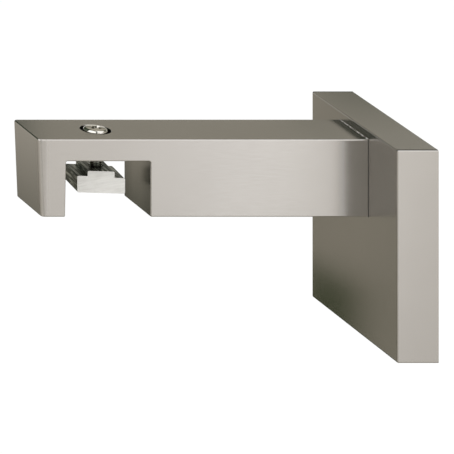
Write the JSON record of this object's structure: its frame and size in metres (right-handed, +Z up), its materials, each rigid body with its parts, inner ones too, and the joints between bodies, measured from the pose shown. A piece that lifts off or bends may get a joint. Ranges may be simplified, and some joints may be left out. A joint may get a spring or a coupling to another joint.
{
  "type": "curtain rod bracket",
  "caption": "Square-edged wall bracket for a curtain rail: upright plate, straight arm with a rail notch near its free end, and a T shaped clamp block on a screw from above.",
  "frame": {"origin": "centre of the bracket's back face, which lies on the wall", "axes": "+Z up, +Y out of the back face into the wall, X along the rail; the arm runs towards -Y"},
  "size_m": [0.044, 0.0882, 0.05],
  "materials": {
    "satin_body": "fine satin, warm nickel tone",
    "satin_plate": "fine satin, warm nickel tone",
    "zinc_steel": "zinc plated",
    "zinc_screw": "zinc plated",
    "dark_screw": "blackened",
    "bright_screw": "bright nickel plated",
    "sawn_block": "rolled sides with a matte sawn face"
  },
  "bodies": {
    "bracket": {"arm": "satin_body", "wall_plate": "satin_plate", "mounting_plate": "zinc_steel", "arm_screw_upper": "zinc_screw", "arm_screw_lower": "zinc_screw", "set_screw_left": "dark_screw", "set_screw_right": "dark_screw"},
    "clamp_screw": {"clamp_screw": "bright_screw"},
    "clamp_block": {"clamp_block": "sawn_block"}
  },
  "joints": [
    {"name": "clamp_screw_turn", "type": "hinge", "parent": "bracket", "child": "clamp_screw", "pos_m": [0, -0.0715, 0.021], "axis": [0, 0, 1], "range_deg": [-2165, 2165]},
    {"name": "clamp_block_lift", "type": "slide", "parent": "bracket", "child": "clamp_block", "axis": [0, 0, 1], "range_m": [-0.003, 0.003]}
  ],
  "couplings": [
    {"joint": "clamp_screw_turn", "follows": "clamp_block_lift", "rad_per_m": -12566}
  ]
}
